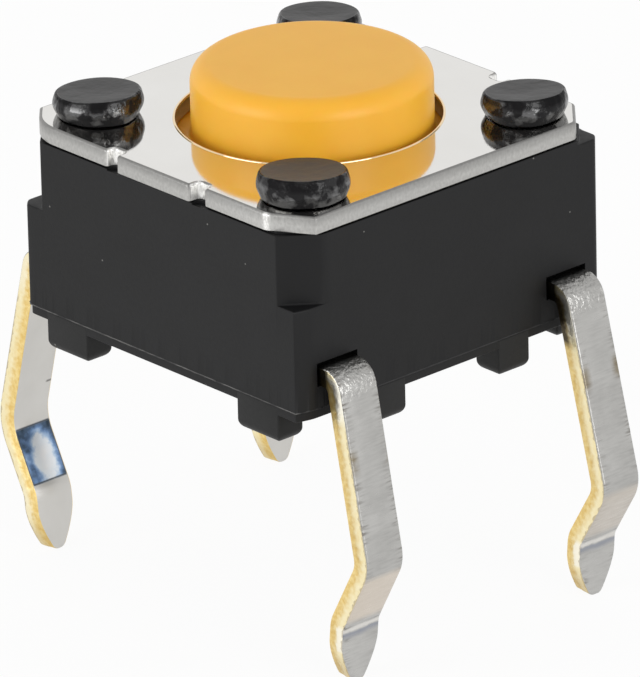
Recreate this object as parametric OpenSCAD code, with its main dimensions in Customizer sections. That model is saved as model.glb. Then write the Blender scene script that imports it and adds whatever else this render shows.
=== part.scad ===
// Tactile push button switch with four through-hole legs, 6 x 6 mm.
// Lengths are millimetres. Z is up, Z = 0 is the tips of the legs, and the button
// moves along Z. The legs come out of the two faces that look along +X and -X.

/* [Base moulding] */
// Width of the moulding, the same both ways
body_w = 6; // [5.8:0.1:7]
// Height of the moulding from its underside to the cover
body_h = 2.83; // [2.7:0.05:4]
// Rounding of the upright corners
corner_r = 0.22; // [0.15:0.01:0.35]
// Chamfer of the upright corners above their ledges
corner_cut = 0.47; // [0.4:0.01:0.6]
// Drop from the cover to the ledges of the two -Y corners
front_ledge = 1.1; // [0.3:0.05:1.4]
// Drop from the cover to the ledges of the two +Y corners
back_ledge = 0.1; // [0.05:0.05:1]
// Height of the parting line above the underside
parting_h = 0.15; // [0.1:0.01:0.3]
// How far the moulding is set in below the parting line
parting_step = 0.02; // [0.01:0.01:0.05]

/* [Feet] */
// Height of the feet that stand on the board
foot_h = 0.46; // [0.3:0.01:0.8]
// Length of the feet along the +Y and -Y faces
foot_x = 0.89; // [0.7:0.01:1]
// Depth of those feet
foot_x_deep = 0.48; // [0.35:0.01:0.6]
// Gap between those feet and the moulding's corner
foot_x_inset = 0.48; // [0.4:0.01:0.6]
// Length of the feet along the +X and -X faces
foot_y = 0.61; // [0.45:0.01:0.7]
// Depth of those feet
foot_y_deep = 0.5; // [0.35:0.01:0.6]
// Gap between those feet and the mouths that the legs come out of
foot_mouth_gap = 0.335; // [0.25:0.005:0.4]
// Rounding of the feet's lower edges
foot_r = 0.15; // [0.05:0.01:0.17]

/* [Cover plate] */
// Thickness of the cover sheet
cover_t = 0.27; // [0.2:0.01:0.4]
// Corner chamfer of the cover
cover_cut = 0.49; // [0.4:0.01:0.6]
// Clearance between the button and its hole
hole_gap = 0.18; // [0.05:0.01:0.25]
// Place along X of the half-round notches beside the cut-off strip tabs
notch_at = 0.92; // [0.7:0.01:1.2]
// Radius of those notches
notch_r = 0.13; // [0.08:0.01:0.2]
// How far the cut-off tabs stand proud of the cover's edge
tab_proud = 0.05; // [0.02:0.01:0.1]
// Depth of the hollows in the moulding below the notches
notch_hollow = 0.05; // [0.02:0.01:0.3]

/* [Staked posts] */
// Distance of the posts' middles from the faces along +X and -X
post_in_x = 0.785; // [0.75:0.005:0.85]
// Distance of the posts' middles from the faces along +Y and -Y
post_in_y = 0.83; // [0.75:0.005:0.85]
// Diameter of the posts where they pass through the cover
post_d = 0.9; // [0.6:0.05:0.95]
// Clearance round a post in its hole
post_gap = 0.04; // [0.02:0.01:0.08]
// Diameter of the flattened heads
head_d = 1.32; // [1.2:0.01:1.4]
// Height of the heads above the cover
head_h = 0.3; // [0.2:0.01:0.4]
// Rounding of the heads' top edge
head_r = 0.12; // [0.05:0.01:0.18]
// Depth of the dish that the staking tool leaves
head_dish = 0.03; // [0.01:0.01:0.06]

/* [Button] */
// Height of the button above the cover
button_h = 0.85; // [0.7:0.05:6]
// Rounding of the button's top edge
button_r = 0.3; // [0.1:0.01:0.4]
// Wall of the moulding beside the bore that the flange slides in
bore_wall = 0.65; // [0.6:0.01:0.75]
// Width of the flange that the cover holds in, from the button's side
flange_lip = 0.475; // [0.35:0.005:0.6]
// Thickness of the flange
flange_t = 0.75; // [0.4:0.05:0.9]
// Diameter of the nub that presses the dome
nub_d = 1.4; // [0.8:0.1:2]
// Way that the button travels
travel = 0.25; // [0.15:0.01:0.35]
// Clearance round the flange in its bore
flange_gap = 0.1; // [0.05:0.01:0.15]
// Clearance above the flange and above the dome
seat_gap = 0.02; // [0.01:0.01:0.05]

/* [Contact dome] */
// Thickness of the dome's sheet
dome_t = 0.06; // [0.05:0.01:0.1]
// Depth of the narrower well that keeps the dome in the middle
dome_well = 0.55; // [0.45:0.05:0.7]
// Width of the step between the bore and that well
well_step = 0.29; // [0.2:0.01:0.5]
// Clearance round the dome in its well
dome_gap = 0.06; // [0.03:0.01:0.08]

/* [Terminals] */
// Thickness of the terminal strip
strip_t = 0.3; // [0.2:0.01:0.35]
// Width of the strips and their legs
strip_w = 0.7; // [0.5:0.05:0.8]
// Distance of the strips' middles from the faces along +Y and -Y
strip_in = 0.75; // [0.7:0.01:0.85]
// Height of the strip's underside above the moulding's underside
strip_up = 0.49; // [0.35:0.01:0.6]
// Diameter of the contact in the middle
contact_d = 1.2; // [0.8:0.1:1.4]
// Width of the arm and the side pads under the dome
arm_w = 0.6; // [0.4:0.05:0.7]
// Clearance beside the legs in the mouths that they come out of
mouth_gap = 0.04; // [0.02:0.01:0.1]
// Clearance above the legs in those mouths
mouth_over = 0.06; // [0.03:0.01:0.15]
// Depth of those mouths
mouth_deep = 0.12; // [0.08:0.01:0.3]
// Diameter of the mould's support holes under the strips
support_d = 0.6; // [0.4:0.05:0.65]

/* [Legs] */
// Length of the legs below the feet
leg_drop = 3.67; // [3:0.05:4]
// How far the legs stand out from the moulding at their top bend
leg_top_out = 0.42; // [0.4:0.01:0.5]
// How far they stand out at the kink
leg_kink_out = 1.17; // [0.7:0.01:1.2]
// Height of the kink above the tips
kink_up = 1.95; // [1.8:0.05:2.3]
// How far they stand out at the lower bend
leg_low_out = 0.57; // [0.4:0.01:0.6]
// Height of the lower bend above the tips
low_up = 0.96; // [0.8:0.02:1.2]
// How far they stand out at their tips
leg_tip_out = 0.45; // [0.35:0.01:0.5]
// Length over which the legs taper to their points
point_l = 0.55; // [0.4:0.05:0.7]
// Width that the taper reaches at the tip
point_w = 0.3; // [0.26:0.01:0.4]
// Rounding of the tip's two corners
point_r = 0.16; // [0.05:0.01:0.17]
// Radius of the top bend at the middle of the strip
bend_r = 0.22; // [0.18:0.01:0.24]
// Radius of the kink and of the lower bend at the middle of the strip
kink_r = 0.45; // [0.3:0.01:0.6]

/* [Hidden] */
$fn = 64;
past = 0.5;
bend_steps = 6;

half = body_w / 2;
feet_z = leg_drop;
under_z = feet_z + foot_h;
top_z = under_z + body_h;
plate_z = top_z + cover_t;
strip_z = under_z + strip_up;
floor_z = strip_z + strip_t;
strip_y = half - strip_in;
mouth_w = strip_w + 2 * mouth_gap;
foot_y_at = strip_y - mouth_w / 2 - foot_mouth_gap - foot_y / 2;
post_x = half - post_in_x;
post_y = half - post_in_y;
post_hole_d = post_d + 2 * post_gap;
flange_bore_d = body_w - 2 * bore_wall;
flange_d = flange_bore_d - 2 * flange_gap;
button_d = flange_d - 2 * flange_lip;
hole_d = button_d + 2 * hole_gap;
well_d = flange_bore_d - 2 * well_step;
dome_d = well_d - 2 * dome_gap;
dome_top_z = floor_z + travel + dome_t;
flange_top_z = top_z - seat_gap;
strip_end = half - mouth_deep;
pad_at = dome_d / 2 - arm_w / 2;
dish_r = (pow(head_d / 4, 2) + pow(head_dish, 2)) / (2 * head_dish);

function unit(v) = v / norm(v);
function along(p, i) = unit(p[min(i + 1, len(p) - 1)] - p[max(i - 1, 0)]);

// Points of the arc of radius r that rounds the corner q between p and s
function corner_arc(p, q, s, r) =
    let (u = unit(p - q), v = unit(s - q), turn = acos(u * v))
    let (middle = q + unit(u + v) * r / sin(turn / 2))
    let (from = unit(q + u * r / tan(turn / 2) - middle), to = unit(q + v * r / tan(turn / 2) - middle))
    let (sweep = 180 - turn)
    [for (i = [0 : bend_steps]) middle + r * (from * sin(sweep * (1 - i / bend_steps))
        + to * sin(sweep * i / bend_steps)) / sin(sweep)];

// A path moved sideways by d, to its left
function beside(p, d) = [for (i = [0 : len(p) - 1]) p[i] + d * [-along(p, i)[1], along(p, i)[0]]];
function backwards(p) = [for (i = [len(p) - 1 : -1 : 0]) p[i]];

// Middle line of one leg in the plane of X and Z, from inside the moulding to the tip
leg_mid = half - strip_t / 2;
leg_corners = [
    [strip_end - past, strip_z + strip_t / 2],
    [leg_mid + leg_top_out, strip_z + strip_t / 2],
    [leg_mid + leg_kink_out, kink_up],
    [leg_mid + leg_low_out, low_up],
    [leg_mid + leg_tip_out, 0],
];
bend_radii = [0, bend_r, kink_r, kink_r];
leg_path = concat(
    [leg_corners[0]],
    [for (k = [1 : 3]) each corner_arc(leg_corners[k - 1], leg_corners[k], leg_corners[k + 1], bend_radii[k])],
    [leg_corners[4] - [0, past]]
);

// Front view of a leg, which tapers to its rounded point
point_corners = [
    [-strip_w / 2, top_z], [-strip_w / 2, point_l], [-point_w / 2, 0],
    [point_w / 2, 0], [strip_w / 2, point_l], [strip_w / 2, top_z],
];
point_path = concat(
    [point_corners[0], point_corners[1]],
    [for (k = [2, 3]) each corner_arc(point_corners[k - 1], point_corners[k], point_corners[k + 1], point_r)],
    [point_corners[4], point_corners[5]]
);

// A square round the origin with rounded corners
module round_square(w, r) {
    square([w - 2 * r, w], center = true);
    square([w, w - 2 * r], center = true);
    for (sx = [-1, 1]) {
        for (sy = [-1, 1]) {
            translate([sx * (w / 2 - r), sy * (w / 2 - r)]) circle(r);
        }
    }
}

// A foot of w by d standing on the board with its middle at the origin
module foot(w, d) {
    intersection() {
        rotate([90, 0, 0]) linear_extrude(2 * d, center = true) foot_outline(w);
        rotate([90, 0, 90]) linear_extrude(2 * w, center = true) foot_outline(d);
    }
}

// A foot's side view, rounded at its lower corners and reaching up into the moulding
module foot_outline(w) {
    translate([-w / 2, foot_r]) square([w, foot_h + parting_h - foot_r]);
    translate([-w / 2 + foot_r, 0]) square([w - 2 * foot_r, foot_h]);
    for (s = [-1, 1]) {
        translate([s * (w / 2 - foot_r), foot_r]) circle(foot_r);
    }
}

module feet() {
    foot_x_mid = half - foot_x_inset - foot_x / 2;
    for (sx = [-1, 1]) {
        for (sy = [-1, 1]) {
            translate([sx * foot_x_mid, sy * (half - foot_x_deep / 2), feet_z]) foot(foot_x, foot_x_deep);
            translate([sx * (half - foot_y_deep / 2), sy * foot_y_at, feet_z]) foot(foot_y_deep, foot_y);
        }
    }
}

// Prism that takes off an upright corner down to its ledge
module corner_prism(sx, sy, drop) {
    translate([0, 0, top_z - drop]) linear_extrude(drop + past) polygon([
        [sx * half, sy * (half - corner_cut)],
        [sx * (half - corner_cut), sy * half],
        [sx * (half - corner_cut), sy * (half + past)],
        [sx * (half + past), sy * (half + past)],
        [sx * (half + past), sy * (half - corner_cut)],
    ]);
}

module moulding_block() {
    low_w = body_w - 2 * parting_step;
    difference() {
        union() {
            translate([0, 0, under_z]) linear_extrude(body_h) round_square(low_w, corner_r);
            translate([0, 0, under_z + parting_h])
                linear_extrude(body_h - parting_h) round_square(body_w, corner_r);
        }
        for (sx = [-1, 1]) {
            corner_prism(sx, -1, front_ledge);
            corner_prism(sx, 1, back_ledge);
        }
    }
}

// Post with its head flattened over the cover, as one revolved outline
module staked_post() {
    rotate_extrude() difference() {
        union() {
            translate([0, top_z - past]) square([post_d / 2, past + cover_t + head_h / 2]);
            translate([0, plate_z]) square([head_d / 2, head_h - head_r]);
            translate([0, plate_z]) square([head_d / 2 - head_r, head_h]);
            translate([head_d / 2 - head_r, plate_z + head_h - head_r]) circle(head_r);
        }
        translate([0, plate_z + head_h - head_dish + dish_r]) circle(dish_r, $fn = 180);
        translate([-head_d, 0]) square([head_d, plate_z + 2 * head_h]);
    }
}

// Mouths round the legs, open to the +X or -X face, with the legs lying on their lower sides
module leg_mouths() {
    for (sx = [-1, 1]) {
        for (sy = [-1, 1]) {
            translate([sx * (half - mouth_deep / 2 + past / 2), sy * strip_y, strip_z])
                linear_extrude(strip_t + mouth_over) square([mouth_deep + past, mouth_w], center = true);
        }
    }
}

// Flat part of a terminal that runs from mouth to mouth
module strip_bar() {
    translate([0, 0, strip_z]) linear_extrude(strip_t) square([2 * strip_end, strip_w], center = true);
}

module leg() {
    intersection() {
        rotate([90, 0, 0]) linear_extrude(strip_w, center = true)
            polygon(concat(beside(leg_path, strip_t / 2), backwards(beside(leg_path, -strip_t / 2))));
        rotate([90, 0, 90]) linear_extrude(body_w + leg_kink_out) polygon(point_path);
    }
}

module leg_pair() {
    leg();
    mirror([1, 0, 0]) leg();
}

// Flat part of the centre terminal: its strip, and the arm to the contact under the dome's middle
module centre_strip() {
    translate([0, strip_y, 0]) strip_bar();
    translate([0, 0, strip_z]) linear_extrude(strip_t) union() {
        circle(d = contact_d);
        translate([-arm_w / 2, 0]) square([arm_w, strip_y]);
    }
}

// Flat part of the outer terminal: its strip, and two arms to the pads under the dome's rim
module outer_strip() {
    translate([0, -strip_y, 0]) strip_bar();
    translate([0, 0, strip_z]) linear_extrude(strip_t) for (s = [-1, 1]) {
        translate([s * pad_at, 0]) circle(d = arm_w);
        translate([s * pad_at - arm_w / 2, -strip_y]) square([arm_w, strip_y]);
    }
}

module base() {
    color("#2f2f31") difference() {
        union() {
            moulding_block();
            feet();
            for (sx = [-1, 1]) {
                for (sy = [-1, 1]) {
                    translate([sx * post_x, sy * post_y, 0]) staked_post();
                }
            }
        }
        translate([0, 0, floor_z]) cylinder(d = well_d, h = body_h);
        translate([0, 0, floor_z + dome_well]) cylinder(d = flange_bore_d, h = body_h);
        leg_mouths();
        centre_strip();
        outer_strip();
        for (sx = [-1, 1]) {
            for (sy = [-1, 1]) {
                translate([sx * notch_at, sy * half, top_z - notch_hollow])
                    cylinder(r = notch_r, h = notch_hollow + past);
                translate([sx * (strip_end - support_d), sy * strip_y, under_z - past])
                    cylinder(d = support_d, h = past + strip_up);
            }
        }
    }
}

module cover_plate() {
    cut_half = half - cover_cut;
    color("#d9d8d5") translate([0, 0, top_z]) linear_extrude(cover_t) difference() {
        union() {
            polygon([
                [-half, -cut_half], [-cut_half, -half], [cut_half, -half], [half, -cut_half],
                [half, cut_half], [cut_half, half], [-cut_half, half], [-half, cut_half],
            ]);
            square([2 * (notch_at - notch_r / 2), body_w + 2 * tab_proud], center = true);
        }
        circle(d = hole_d);
        for (sx = [-1, 1]) {
            for (sy = [-1, 1]) {
                translate([sx * post_x, sy * post_y]) circle(d = post_hole_d);
                translate([sx * notch_at, sy * half]) circle(notch_r);
            }
        }
    }
}

module button() {
    top = plate_z + button_h;
    nub_z = dome_top_z + seat_gap;
    stem_z = flange_top_z - past / 2;
    color("#f2b032") rotate_extrude() union() {
        translate([0, nub_z]) square([nub_d / 2, flange_top_z - nub_z]);
        translate([0, flange_top_z - flange_t]) square([flange_d / 2, flange_t]);
        translate([0, stem_z]) square([button_d / 2, top - button_r - stem_z]);
        translate([0, flange_top_z]) square([button_d / 2 - button_r, top - flange_top_z]);
        intersection() {
            translate([button_d / 2 - button_r, top - button_r]) circle(button_r);
            translate([0, top - button_r]) square([button_d / 2, button_r]);
        }
    }
}

// Shallow cap of a sphere with its rim on the floor of the well
module contact_dome() {
    cap_r = (pow(dome_d / 2, 2) + pow(travel, 2)) / (2 * travel);
    color("#c9c7c2") translate([0, 0, floor_z]) rotate_extrude() intersection() {
        difference() {
            translate([0, travel - cap_r + dome_t]) circle(cap_r, $fn = 360);
            translate([0, travel - cap_r]) circle(cap_r, $fn = 360);
        }
        square([dome_d / 2, travel + 2 * dome_t]);
    }
}

module centre_terminal() {
    color("#c8c4bc") union() {
        centre_strip();
        translate([0, strip_y, 0]) leg_pair();
    }
}

module outer_terminal() {
    color("#c8c4bc") union() {
        outer_strip();
        translate([0, -strip_y, 0]) leg_pair();
    }
}

base();
cover_plate();
button();
contact_dome();
centre_terminal();
outer_terminal();
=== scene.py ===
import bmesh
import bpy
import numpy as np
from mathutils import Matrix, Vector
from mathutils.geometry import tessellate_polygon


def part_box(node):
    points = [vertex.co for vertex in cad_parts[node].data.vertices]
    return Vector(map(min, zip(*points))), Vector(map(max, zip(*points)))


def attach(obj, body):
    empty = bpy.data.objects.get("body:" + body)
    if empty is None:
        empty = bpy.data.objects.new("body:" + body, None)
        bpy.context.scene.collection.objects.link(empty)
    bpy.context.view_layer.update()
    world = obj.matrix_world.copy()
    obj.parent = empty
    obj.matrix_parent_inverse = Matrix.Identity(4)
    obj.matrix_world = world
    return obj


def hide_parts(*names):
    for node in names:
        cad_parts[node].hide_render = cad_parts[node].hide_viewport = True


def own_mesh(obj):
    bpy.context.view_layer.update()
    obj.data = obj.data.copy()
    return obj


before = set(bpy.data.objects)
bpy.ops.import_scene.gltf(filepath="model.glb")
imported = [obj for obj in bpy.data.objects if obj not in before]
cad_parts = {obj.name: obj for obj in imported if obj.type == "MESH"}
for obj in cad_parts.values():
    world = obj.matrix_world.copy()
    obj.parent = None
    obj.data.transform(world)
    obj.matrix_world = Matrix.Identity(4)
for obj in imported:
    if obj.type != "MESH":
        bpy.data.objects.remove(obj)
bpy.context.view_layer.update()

# %% [markdown]
# A tactile push button switch is a machine's smallest moulding, sheet and stamping work put
# together: a black base with its posts staked over a bright steel cover, an orange-yellow button,
# and silver-plated brass legs. At this size every edge is a few hundredths of a millimetre round,
# and it is those edges that catch the light, so each piece is made again here as a fine surface
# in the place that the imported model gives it.

MM = 0.001


def box_mm(node):
    """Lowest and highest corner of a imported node, as two arrays in millimetres."""
    low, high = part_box(node)
    return np.array(low) / MM, np.array(high) / MM


base_low, base_high = box_mm("base")
cover_low, cover_high = box_mm("cover_plate")
button_low, button_high = box_mm("button")
HALF = base_high[0]
SEAT_Z = base_low[2]
BASE_TOP = cover_low[2]
COVER_TOP = cover_high[2]
SIGNS = [(-1, -1), (-1, 1), (1, -1), (1, 1)]
print("half width", round(HALF, 3), "seat", round(SEAT_Z, 3), "cover", round(BASE_TOP, 3), round(COVER_TOP, 3))

# %% [markdown]
# The camera is the photograph's: a long lens, about 170 mm away, that looks down on one corner.
# Its place comes from the angles and the distance to the middle of the cover, and the point of the
# picture where that middle has to fall turns into a small sideways step of the camera, so that the
# lens needs no shift.

# %% Camera
PICTURE_W, PICTURE_H = 640, 677
AZIMUTH, ELEVATION, ROLL = np.radians([48.2, 22.96, -1.34])
DISTANCE = 169.44
PIXELS_PER_MM = 68.85
AIM = np.array([0.0, 0.0, COVER_TOP])
AIM_PIXEL = np.array([309.1, 113.8])
SENSOR = 36.0


def standing(x, y, z, place):
    """Matrix that puts a thing at a place in millimetres, with its own axes along x, y and z."""
    return Matrix(np.vstack([np.stack([x, y, z, place * MM], 1), [0, 0, 0, 1]]).tolist())


back = np.array([np.sin(AZIMUTH) * np.cos(ELEVATION), -np.cos(AZIMUTH) * np.cos(ELEVATION),
                 np.sin(ELEVATION)])
level = np.array([np.cos(AZIMUTH), np.sin(AZIMUTH), 0.0])
upright = np.cross(back, level)
right = np.cos(ROLL) * level + np.sin(ROLL) * upright
up = np.cos(ROLL) * upright - np.sin(ROLL) * level
off_x, off_y = (AIM_PIXEL - np.array([PICTURE_W, PICTURE_H]) / 2) / PIXELS_PER_MM
eye = AIM + DISTANCE * back - off_x * right + off_y * up

camera_data = bpy.data.cameras.new("camera")
camera_data.sensor_width = SENSOR
camera_data.lens = PIXELS_PER_MM * DISTANCE / PICTURE_H * SENSOR
camera_data.clip_start = 0.001
camera = bpy.data.objects.new("camera", camera_data)
bpy.context.scene.collection.objects.link(camera)
camera.matrix_world = standing(right, up, back, eye)
bpy.context.scene.camera = camera
bpy.context.scene.view_settings.view_transform = "Standard"
print("lens", round(camera_data.lens, 1), "mm, eye", eye.round(1))

# %% [markdown]
# Every surface below is a grid of points: a profile carried along or round something. These few
# helpers turn arrays of points into Blender meshes. Nothing in them walks over single points:
# the faces of a grid are worked out as one array, and a closed grid wraps its last row or column
# back to the first.

# %% Mesh helpers


def grid_faces(rows, columns, start=0, ring=False):
    """Quads of a grid whose columns close into a ring, and whose rows do so too where ring is true."""
    r, c = np.meshgrid(np.arange(rows if ring else rows - 1), np.arange(columns), indexing="ij")
    n, m = (c + 1) % columns, (r + 1) % rows
    quads = np.stack([r * columns + c, r * columns + n, m * columns + n, m * columns + c], -1)
    return start + quads.reshape(-1, 4)


def capped(grid):
    """Points and faces of a grid (row, column, 3) closed by one flat face at each end."""
    rows, columns = grid.shape[:2]
    first, last = np.arange(rows * columns).reshape(rows, columns)[[0, -1]].tolist()
    return grid.reshape(-1, 3), grid_faces(rows, columns).tolist() + [first[::-1], last]


def gather(shapes):
    """Points and faces of several shapes as one, with the faces renumbered."""
    starts = np.cumsum([0] + [len(shape[0]) for shape in shapes])
    faces = [[n + s for n in face] for s, shape in zip(starts, shapes) for face in shape[1]]
    return np.concatenate([shape[0] for shape in shapes]), faces


def new_piece(name, points, faces, materials, material_index=None, smooth=None):
    """Mesh object at the origin from points in millimetres. Faces are lists of point numbers."""
    mesh = bpy.data.meshes.new(name)
    mesh.from_pydata((np.asarray(points) * MM).tolist(), [], [list(map(int, f)) for f in faces])
    for material in materials:
        mesh.materials.append(material)
    if material_index is not None:
        mesh.polygons.foreach_set("material_index", np.asarray(material_index, np.int32))
    flags = np.ones(len(mesh.polygons), bool) if smooth is None else np.asarray(smooth, bool)
    mesh.polygons.foreach_set("use_smooth", flags)
    mesh.validate()
    mesh.update()
    piece = bpy.data.objects.new(name, mesh)
    bpy.context.scene.collection.objects.link(piece)
    return piece


def point_values(piece, name, values):
    """Gives each point a number that the materials read by its name."""
    piece.data.attributes.new(name, "FLOAT", "POINT").data.foreach_set("value", values)


def sharpen(piece, degrees):
    """Drops collapsed faces, and marks each edge sharp where its two faces meet at more than the angle."""
    work = bmesh.new()
    work.from_mesh(piece.data)
    bmesh.ops.dissolve_degenerate(work, dist=1e-4 * MM, edges=work.edges[:])
    for edge in work.edges:
        edge.smooth = len(edge.link_faces) == 2 and edge.calc_face_angle(0) < np.radians(degrees)
    work.to_mesh(piece.data)
    work.free()
    return piece


def unit(v):
    """Vectors scaled to length one, along the last axis."""
    return v / np.maximum(np.linalg.norm(v, axis=-1, keepdims=True), 1e-12)


def rounded_outline(corners, radii, steps=8):
    """Closed outline through 2D corners, each replaced by the arc of its radius that touches both sides.

    With the directions u and v from a corner to its neighbours and half the angle between them h,
    the arc starts r / tan(h) along u, and its middle lies r / sin(h) along the bisector.
    """
    q = np.asarray(corners, float)
    r = np.asarray(radii, float)[:, None]
    u, v = unit(np.roll(q, 1, 0) - q), unit(np.roll(q, -1, 0) - q)
    h = np.arccos(np.clip((u * v).sum(1), -1, 1))[:, None] / 2
    middle = q + unit(u + v) * r / np.sin(h)
    spoke = q + u * r / np.tan(h) - middle
    side = np.sign(v[:, 0] * u[:, 1] - v[:, 1] * u[:, 0])[:, None]
    angle = side * (np.pi - 2 * h) * np.linspace(0, 1, steps)[None, :]
    crossed = np.stack([-spoke[:, 1], spoke[:, 0]], 1)
    points = (middle[:, None] + np.cos(angle)[..., None] * spoke[:, None]
              + np.sin(angle)[..., None] * crossed[:, None])
    return points.reshape(-1, 2)


def outline_normals(loop):
    """Unit normals of a closed 2D outline that runs anticlockwise, pointing out of it."""
    ahead = unit(np.roll(loop, -1, 0) - loop)
    along = unit(ahead + np.roll(ahead, 1, 0))
    return np.stack([along[:, 1], -along[:, 0]], 1)


def quarter(steps):
    """Sine and 1 - cosine over a quarter turn: the rise and the setting-in of a rounded edge."""
    a = np.linspace(0, np.pi / 2, steps)
    return np.sin(a), 1 - np.cos(a)


print("helpers ready")

# %% [markdown]
# A sheet part, such as the cover or a terminal strip, is an outline with holes, given a thickness.
# Blender could extrude and bevel a curve, but a blanked sheet isn't the same on both faces: the
# punch drags the top edge round, and the sheared wall below is straight. So each outline becomes
# a ring of rows that follow the edge's profile, and the flat faces between the outlines are
# filled with triangles.

# %% Sheets from outlines
EDGE_STEPS = 5


def sheet_part(loops, z_low, z_high, round_top, round_low, steps=EDGE_STEPS):
    """Points, faces and a code for each face (0 top, 1 cut edge, 2 underside, 3 rolled edge) of a sheet.

    loops are outlines, the outer one anticlockwise and the holes clockwise. Each row of an edge is
    the outline moved inwards along its normals by 1 - cos, and down by 1 - sin, of a quarter turn.
    """
    rise, inward = quarter(steps)
    profile_z = np.concatenate([z_high - round_top * inward, (z_low + round_low * inward)[::-1]])
    profile_in = np.concatenate([round_top * (1 - rise), (round_low * (1 - rise))[::-1]])
    points, faces, codes, tops, lows = [], [], [], [], []
    for loop in loops:
        normal = outline_normals(loop)
        start = sum(len(p) for p in points)
        rows = loop[None] - profile_in[:, None, None] * normal[None]
        rows = np.concatenate([rows, np.broadcast_to(profile_z[:, None, None], rows.shape[:2] + (1,))], -1)
        ring = grid_faces(len(profile_z), len(loop), start=start)[:, ::-1]
        points.append(rows.reshape(-1, 3))
        faces += ring.tolist()
        row = np.repeat(np.arange(len(profile_z) - 1), len(loop))
        codes += np.where(row < steps - 1, 3, 1).tolist()
        tops.append(np.arange(start, start + len(loop)))
        last_row = start + (len(profile_z) - 1) * len(loop)
        lows.append(np.arange(last_row, last_row + len(loop)))
    points = np.concatenate(points)
    for rings, code, flip in ((tops, 0, 1), (lows, 2, -1)):
        numbers = np.concatenate(rings)
        filled = tessellate_polygon([[(*points[n][:2], 0.0) for n in ring] for ring in rings])
        triangles = numbers[np.array(filled)]
        a, b, c = points[triangles[:, 0], :2], points[triangles[:, 1], :2], points[triangles[:, 2], :2]
        area = (b[:, 0] - a[:, 0]) * (c[:, 1] - a[:, 1]) - (b[:, 1] - a[:, 1]) * (c[:, 0] - a[:, 0])
        triangles = np.where((area * flip < 0)[:, None], triangles[:, ::-1], triangles)
        faces += triangles.tolist()
        codes += [code] * len(triangles)
    return points, faces, np.array(codes)


def circle_loop(x, y, radius, count, hole=True):
    """Round outline, clockwise where it is a hole."""
    a = np.linspace(0, 2 * np.pi, count, endpoint=False) * (-1 if hole else 1)
    return np.stack([x + radius * np.cos(a), y + radius * np.sin(a)], 1)


print("sheet tools ready")

# %% [markdown]
# Materials start from a few rules. A colour is written as the sRGB value that the eye reads, and
# one function turns it into the linear value that the renderer needs. One function gives sockets
# their values, and one adds a node. Every pattern reads the object's own coordinates, turned into
# millimetres, so a noise's scale is simply how often it repeats in a millimetre.

# %% Colour and node helpers


def linear(code):
    """Linear RGBA from an sRGB hex code."""
    c = np.array([int(code[i:i + 2], 16) for i in (1, 3, 5)]) / 255
    return (*np.where(c <= 0.04045, c / 12.92, ((c + 0.055) / 1.055) ** 2.4), 1.0)


def plug(tree, node, sockets):
    """Gives a node's sockets their values. A node or socket is linked; a hex colour or a number is set."""
    for name, value in sockets.items():
        if isinstance(value, bpy.types.Node):
            value = next(s for s in value.outputs if not s.is_unavailable)
        if isinstance(value, bpy.types.NodeSocket):
            tree.links.new(value, node.inputs[name])
        else:
            node.inputs[name].default_value = linear(value) if isinstance(value, str) else value


def add(tree, kind, sockets=None, **settings):
    """Adds one shader node with its settings, its sockets' values and its links."""
    node = tree.nodes.new("ShaderNode" + kind)
    for key, value in settings.items():
        setattr(node, key, value)
    plug(tree, node, sockets or {})
    return node


def start_material(name):
    """New material with its tree, its Principled shader and the object coordinates in millimetres."""
    material = bpy.data.materials.new(name)
    material.use_nodes = True
    tree = material.node_tree
    metres = add(tree, "TexCoord").outputs["Object"]
    place = add(tree, "VectorMath", {0: metres, "Scale": 1 / MM}, operation="SCALE")
    return material, tree, tree.nodes["Principled BSDF"], place


# %% [markdown]
# Wear and dirt are drawn as marks: a colour of their own, laid where several shares meet. A share
# is a number from 0 to 1, such as how far a place lies within a band of heights. Three helpers
# shape such marks, so that each mark below is one line of a table.

# %% Shares and marks


def overlap(tree, *shares):
    """Share of a place where all the given shares meet: their product."""
    total = shares[0]
    for share in shares[1:]:
        total = add(tree, "Math", {0: total, 1: share}, operation="MULTIPLY")
    return total


def band(tree, value, edges, to=(0.0, 1.0)):
    """A value read as a share with soft edges.

    It goes from to[0] to to[1] between the first two edges. With four edges, it falls to nothing
    again between the last two.
    """
    rise = add(tree, "MapRange", {
        "Value": value, "From Min": edges[0], "From Max": edges[1], "To Min": to[0], "To Max": to[1]})
    if len(edges) == 2:
        return rise
    fall = add(tree, "MapRange", {"Value": value, "From Min": edges[3], "From Max": edges[2]})
    return overlap(tree, rise, fall)


def mark(tree, colour, own, *shares):
    """The colour with a mark of its own colour laid over it where all the shares meet."""
    return add(tree, "Mix", {"Factor": overlap(tree, *shares), "A": colour, "B": own}, data_type="RGBA")


def marked(tree, colour, marks):
    """The colour under a list of marks, each its own colour and its shares."""
    for own, *shares in marks:
        colour = mark(tree, colour, own, *shares)
    return colour


print("orange", np.round(linear("#F6B733")[:3], 3))

# %% [markdown]
# The button is acetal or a like plastic, injection moulded in an orange-yellow colour. It is
# satin rather than glossy, and a little light goes into it before it comes out again, which
# keeps its shaded side warm. A little subsurface scattering gives that, and a faint bump breaks up
# the highlight. The grain that spark erosion leaves in a mould is about 0.02 mm wide. That is close
# to one pixel, so it is drawn at 28 to the millimetre, a little coarser.

# %% Satin orange acetal


def satin_orange_acetal():
    material, tree, shader, place = start_material("satin_orange_acetal")
    tone = add(tree, "TexNoise", {"Vector": place, "Scale": 1.5, "Detail": 3.0})
    grain = add(tree, "TexNoise", {"Vector": place, "Scale": 28.0, "Detail": 2.0})
    bump = add(tree, "Bump", {"Height": grain, "Strength": 0.12, "Distance": 0.004 * MM})
    plug(tree, shader, {
        "Base Color": mark(tree, "#F1B02A", "#F6B937", tone), "Roughness": 0.42, "IOR": 1.48, "Normal": bump,
        "Subsurface Weight": 0.35, "Subsurface Radius": (1.0, 0.45, 0.12), "Subsurface Scale": 0.25 * MM})
    return material


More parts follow.
